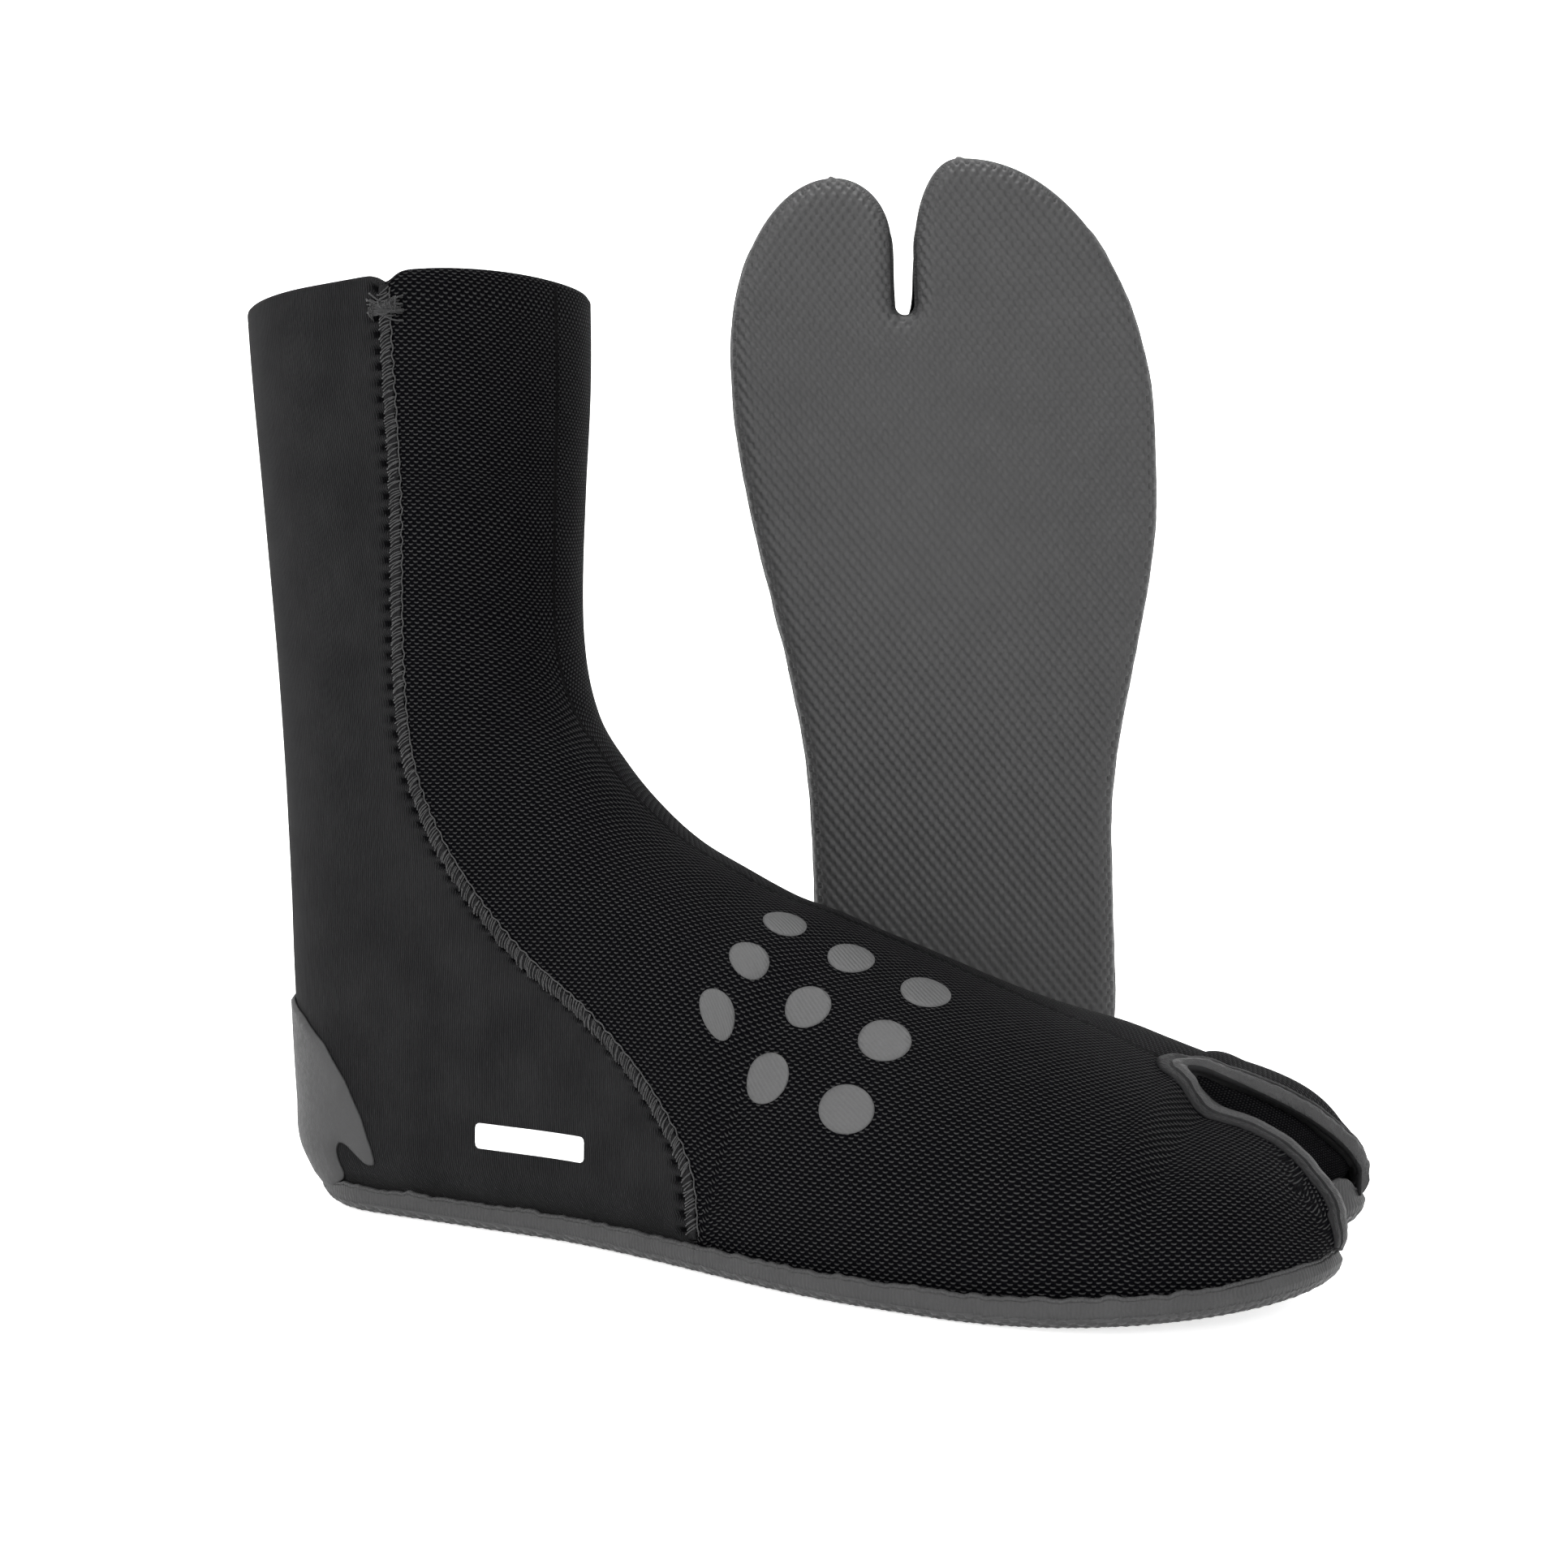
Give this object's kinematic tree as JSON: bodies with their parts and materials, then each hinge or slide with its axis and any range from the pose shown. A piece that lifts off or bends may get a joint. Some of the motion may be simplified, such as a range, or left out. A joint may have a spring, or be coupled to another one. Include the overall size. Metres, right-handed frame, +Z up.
{
  "type": "neoprene boots",
  "caption": "Pair of split-toe neoprene water boots with tall shafts, ribbed rubber soles and edges, one standing and one lying on its shaft with the sole outward.",
  "frame": {"origin": "on the floor at the underside of the right boot's sole plate, under the middle of its heel", "axes": "+X from the right boot's heel to its toes, +Y toward the inner side of the right foot, +Z up out of the floor"},
  "size_m": [0.3057, 0.3936, 0.2875],
  "materials": {
    "sole_rubber": "satin",
    "edge_rubber": "satin",
    "patch_rubber": "satin",
    "smooth_jersey": "matte",
    "mesh_knit": "matte",
    "lining_knit": "matte",
    "footbed_fabric": "matte",
    "gusset_knit": "matte",
    "tape_rubber": "satin",
    "seam_thread": "matte",
    "print_rubber": "satin",
    "label_white": "matte"
  },
  "bodies": {
    "right_boot": {"right_outsole": "sole_rubber", "right_heel_edge": "edge_rubber", "right_forefoot_edge": "edge_rubber", "right_heel_patch": "patch_rubber", "right_heel_panel": "smooth_jersey", "right_front_panel": "mesh_knit", "right_heel_lining": "lining_knit", "right_front_lining": "lining_knit", "right_footbed": "footbed_fabric", "right_toe_gusset": "gusset_knit", "right_split_tape": "tape_rubber", "right_lateral_seam": "seam_thread", "right_medial_seam": "seam_thread", "right_lateral_bartack": "seam_thread", "right_medial_bartack": "seam_thread", "right_instep_print": "print_rubber", "right_label": "label_white"},
    "left_boot": {"left_outsole": "sole_rubber", "left_heel_edge": "edge_rubber", "left_forefoot_edge": "edge_rubber", "left_heel_patch": "patch_rubber", "left_heel_panel": "smooth_jersey", "left_front_panel": "mesh_knit", "left_heel_lining": "lining_knit", "left_front_lining": "lining_knit", "left_footbed": "footbed_fabric", "left_toe_gusset": "gusset_knit", "left_split_tape": "tape_rubber", "left_lateral_seam": "seam_thread", "left_medial_seam": "seam_thread", "left_lateral_bartack": "seam_thread", "left_medial_bartack": "seam_thread", "left_instep_print": "print_rubber", "left_label": "label_white"}
  },
  "joints": [
    {"name": "left_boot_lift", "type": "slide", "parent": "right_boot", "child": "left_boot", "axis": [0, 0, 1], "range_m": [0, 0.3]}
  ]
}
